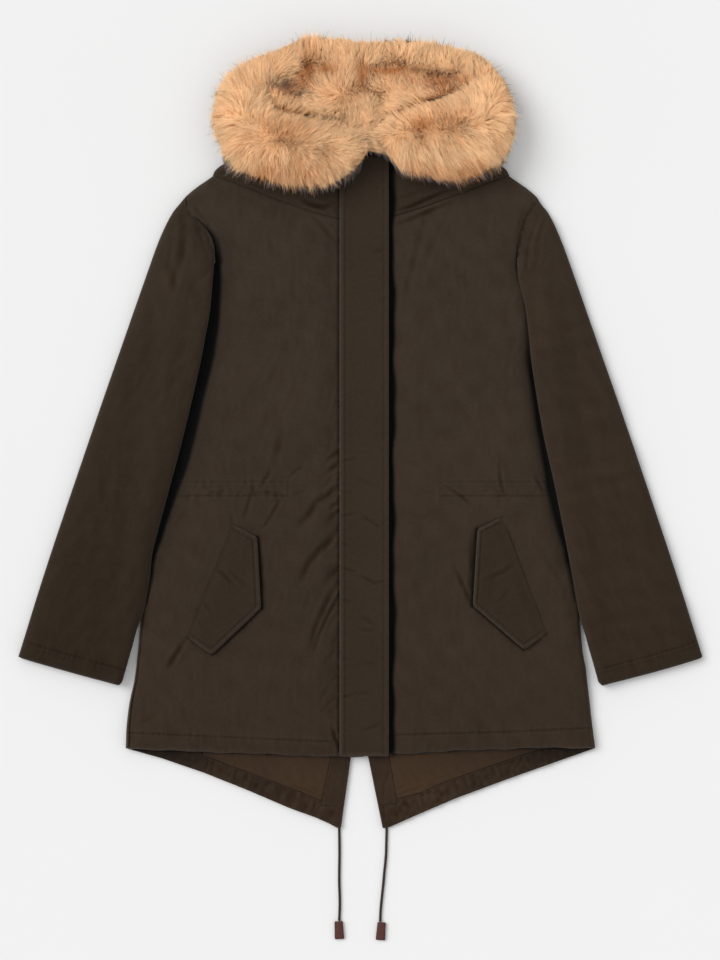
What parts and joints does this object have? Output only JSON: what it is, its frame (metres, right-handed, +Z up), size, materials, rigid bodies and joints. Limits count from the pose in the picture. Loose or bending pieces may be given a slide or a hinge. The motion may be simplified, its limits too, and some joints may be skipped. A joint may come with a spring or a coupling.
{
  "type": "fur trimmed parka",
  "caption": "Hooded parka with a fur trimmed hood, storm placket, gathered waist, slanted pocket flaps and a fishtail back with drawcords, laid flat on its back.",
  "frame": {"origin": "on the surface that the parka lies on, under the middle of the garment without its drawcords", "axes": "+X towards the wearer's left, +Y towards the hood, +Z up from the surface, out of the garment's front"},
  "size_m": [0.924, 1.2144, 0.0702],
  "materials": {
    "shell_cotton": "matte",
    "lining_satin": "satin",
    "fur_tan": "matte",
    "fur_lining": "matte",
    "cord_brown": "matte",
    "leather_burgundy": "satin"
  },
  "bodies": {
    "root": {"back_left": "shell_cotton", "front_left": "shell_cotton", "collar_left": "shell_cotton", "hood_left": "shell_cotton", "pocket_flap_left": "shell_cotton", "hem_facing_left": "shell_cotton", "vent_facing_left": "shell_cotton", "lining_left": "lining_satin", "drawcord_left": "cord_brown", "cord_end_left": "leather_burgundy", "sleeve_left_under": "shell_cotton", "sleeve_left_upper": "shell_cotton", "back_right": "shell_cotton", "front_right": "shell_cotton", "collar_right": "shell_cotton", "hood_right": "shell_cotton", "pocket_flap_right": "shell_cotton", "hem_facing_right": "shell_cotton", "vent_facing_right": "shell_cotton", "lining_right": "lining_satin", "drawcord_right": "cord_brown", "cord_end_right": "leather_burgundy", "sleeve_right_under": "shell_cotton", "sleeve_right_upper": "shell_cotton", "placket": "shell_cotton", "hood_lining": "fur_lining", "fur_trim": "fur_tan"}
  },
  "joints": []
}
